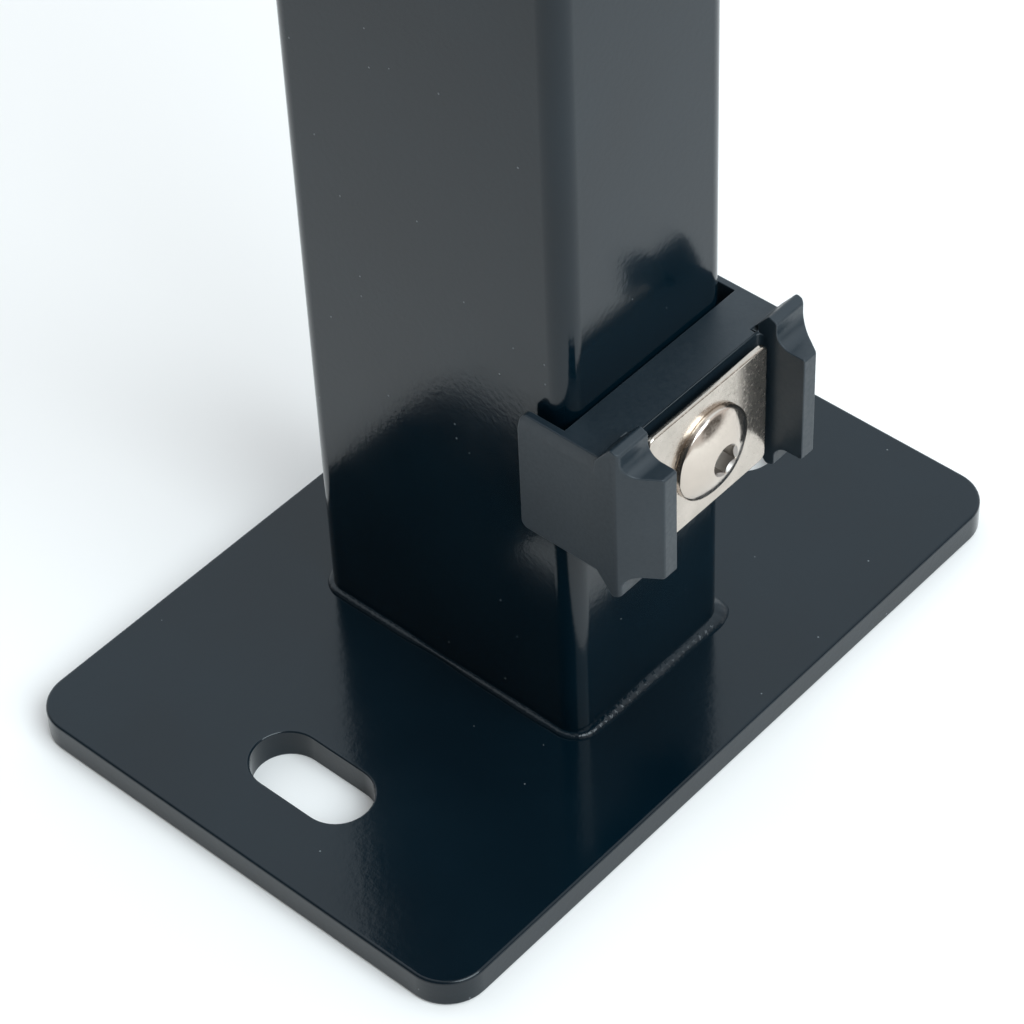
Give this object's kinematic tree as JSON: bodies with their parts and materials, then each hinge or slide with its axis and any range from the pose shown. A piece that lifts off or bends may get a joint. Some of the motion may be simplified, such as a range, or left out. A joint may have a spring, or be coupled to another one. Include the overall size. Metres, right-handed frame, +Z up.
{
  "type": "fence post",
  "caption": "Rectangular steel fence post on a slotted base plate, with a push-in cap and bolted clamp clips that hold a rod mesh panel.",
  "frame": {"origin": "middle of the base plate's underside", "axes": "+Z up the post, X along the base plate's long side, -Y towards the mesh panel that the clips hold"},
  "size_m": [0.15, 0.1, 0.704],
  "materials": {
    "powder_coat": "semi-gloss anthracite powder coat over galvanised steel",
    "clip_plastic": "matte glass-filled polyamide, dark grey",
    "cap_plastic": "matte polyethylene, dark grey",
    "stainless": "tumbled stainless steel",
    "nut_steel": "zinc-plated steel"
  },
  "bodies": {
    "post": {"base_plate": "powder_coat", "base_weld": "powder_coat", "post_tube": "powder_coat", "clip_saddle_1": "clip_plastic", "clip_nut_1": "nut_steel", "clip_saddle_2": "clip_plastic", "clip_nut_2": "nut_steel", "clip_saddle_3": "clip_plastic", "clip_nut_3": "nut_steel", "clip_saddle_4": "clip_plastic", "clip_nut_4": "nut_steel"},
    "cap": {"post_cap": "cap_plastic"},
    "clamp_1": {"clamp_plate_1": "stainless"},
    "bolt_1": {"clamp_bolt_1": "stainless"},
    "clamp_2": {"clamp_plate_2": "stainless"},
    "bolt_2": {"clamp_bolt_2": "stainless"},
    "clamp_3": {"clamp_plate_3": "stainless"},
    "bolt_3": {"clamp_bolt_3": "stainless"},
    "clamp_4": {"clamp_plate_4": "stainless"},
    "bolt_4": {"clamp_bolt_4": "stainless"}
  },
  "joints": [
    {"name": "cap_lift", "type": "slide", "parent": "post", "child": "cap", "axis": [0, 0, 1], "range_m": [0, 0.018]},
    {"name": "clamp_slide_1", "type": "slide", "parent": "post", "child": "clamp_1", "axis": [0, -1, 0], "range_m": [-0.0015, 0.0065]},
    {"name": "bolt_turn_1", "type": "hinge", "parent": "clamp_1", "child": "bolt_1", "pos_m": [0, -0.0425, 0.0688], "axis": [0, -1, 0], "range_deg": [-432, 1872]},
    {"name": "clamp_slide_2", "type": "slide", "parent": "post", "child": "clamp_2", "axis": [0, -1, 0], "range_m": [-0.0015, 0.0065]},
    {"name": "bolt_turn_2", "type": "hinge", "parent": "clamp_2", "child": "bolt_2", "pos_m": [0, -0.0425, 0.2688], "axis": [0, -1, 0], "range_deg": [-432, 1872]},
    {"name": "clamp_slide_3", "type": "slide", "parent": "post", "child": "clamp_3", "axis": [0, -1, 0], "range_m": [-0.0015, 0.0065]},
    {"name": "bolt_turn_3", "type": "hinge", "parent": "clamp_3", "child": "bolt_3", "pos_m": [0, -0.0425, 0.4688], "axis": [0, -1, 0], "range_deg": [-432, 1872]},
    {"name": "clamp_slide_4", "type": "slide", "parent": "post", "child": "clamp_4", "axis": [0, -1, 0], "range_m": [-0.0015, 0.0065]},
    {"name": "bolt_turn_4", "type": "hinge", "parent": "clamp_4", "child": "bolt_4", "pos_m": [0, -0.0425, 0.6688], "axis": [0, -1, 0], "range_deg": [-432, 1872]}
  ],
  "couplings": [
    {"joint": "bolt_turn_1", "follows": "clamp_slide_1", "rad_per_m": 5026.5},
    {"joint": "bolt_turn_2", "follows": "clamp_slide_2", "rad_per_m": 5026.5},
    {"joint": "bolt_turn_3", "follows": "clamp_slide_3", "rad_per_m": 5026.5},
    {"joint": "bolt_turn_4", "follows": "clamp_slide_4", "rad_per_m": 5026.5}
  ]
}
